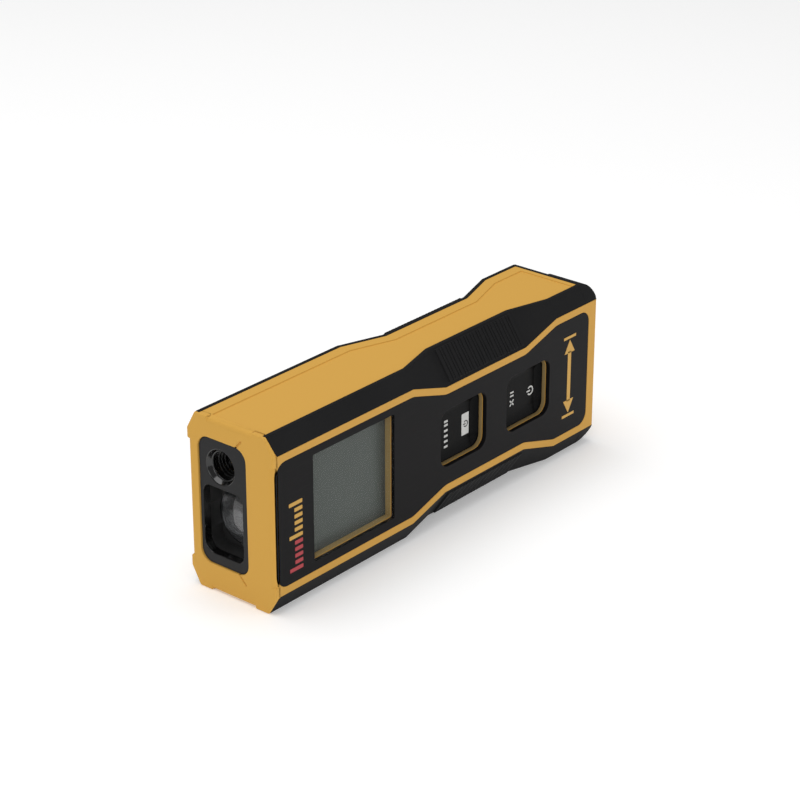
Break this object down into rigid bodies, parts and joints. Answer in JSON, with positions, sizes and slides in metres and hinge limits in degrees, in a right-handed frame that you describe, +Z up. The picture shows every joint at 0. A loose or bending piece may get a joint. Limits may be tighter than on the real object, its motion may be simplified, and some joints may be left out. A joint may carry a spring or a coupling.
{
  "type": "laser distance meter",
  "caption": "Slim pocket laser distance meter with a waisted body, soft yellow jacket, ribbed rubber grips, recessed display and keys, end optics and a hinged battery cover.",
  "frame": {"origin": "middle of the long side face that the meter stands on, under the middle of its box", "axes": "+X from the lens end to the tail, -Y out of the display face, +Z up through the meter's width"},
  "size_m": [0.115, 0.025, 0.042],
  "materials": {
    "yellow_shell": "fine moulded grain, satin",
    "yellow_soft": "soft satin elastomer",
    "black_rubber": "matte moulded rubber",
    "charcoal_plate": "satin printed sheet",
    "clear_window": "clear polished",
    "lcd": "grey-green reflective display",
    "white_diffuser": "milky diffuser",
    "black_frame": "moulded",
    "flex_film": "amber film",
    "key_black": "polished",
    "silicone": "translucent grey silicone",
    "spring_steel": "stamped dome",
    "circuit_board": "solder mask over copper",
    "chip_resin": "moulded resin",
    "bezel_black": "polished",
    "optical_black": "matte, light absorbing",
    "lens_glass": "coated and polished",
    "brass": "turned",
    "diode_can": "gold flashed can",
    "tray_black": "moulded",
    "cell_sleeve": "printed sleeve over a steel can",
    "nickel": "nickel plated strip",
    "screw_steel": "black oxide",
    "label": "blank laminated label"
  },
  "bodies": {
    "housing": {"front_housing": "yellow_shell", "rear_housing": "yellow_shell", "soft_jacket": "yellow_soft", "grip_front_upper": "black_rubber", "grip_front_lower": "black_rubber", "grip_rear_upper": "black_rubber", "grip_rear_lower": "black_rubber", "front_plate": "charcoal_plate", "display_window": "clear_window", "lcd_glass": "lcd", "backlight_panel": "white_diffuser", "lcd_frame": "black_frame", "display_ribbon": "flex_film", "key_mat": "silicone", "dome_switches": "spring_steel", "main_board": "circuit_board", "board_chips": "chip_resin", "buzzer": "chip_resin", "receiver_board": "circuit_board", "photodiode": "chip_resin", "lens_bezel": "bezel_black", "optics_bracket": "optical_black", "receiving_lens": "lens_glass", "emitter_ring": "bezel_black", "laser_barrel": "brass", "collimating_lens": "lens_glass", "laser_diode": "diode_can", "battery_tray": "tray_black", "battery_cell_upper": "cell_sleeve", "battery_cell_lower": "cell_sleeve", "contact_springs": "nickel", "contact_plates": "nickel", "housing_screws": "screw_steel", "board_screws": "screw_steel", "rear_label": "label"},
    "measure_key": {"measure_key": "key_black"},
    "clear_key": {"clear_key": "key_black"},
    "battery_cover": {"battery_cover": "yellow_shell"},
    "cover_latch": {"cover_latch": "yellow_shell"}
  },
  "joints": [
    {"name": "measure_key_press", "type": "slide", "parent": "housing", "child": "measure_key", "axis": [0, 1, 0], "range_m": [0, 0.0005], "stiffness_N_per_m": 600, "springref_m": -0.0005},
    {"name": "clear_key_press", "type": "slide", "parent": "housing", "child": "clear_key", "axis": [0, 1, 0], "range_m": [0, 0.0005], "stiffness_N_per_m": 600, "springref_m": -0.0005},
    {"name": "battery_cover_hinge", "type": "hinge", "parent": "housing", "child": "battery_cover", "pos_m": [0.0527, 0.0114, 0.021], "axis": [0, 0, -1], "range_deg": [0, 70]},
    {"name": "cover_latch_flex", "type": "hinge", "parent": "battery_cover", "child": "cover_latch", "pos_m": [0.0087, 0.0118, 0.021], "axis": [0, 0, 1], "range_deg": [0, 5], "stiffness_Nm_per_rad": 0.05, "springref_deg": -2.86}
  ]
}
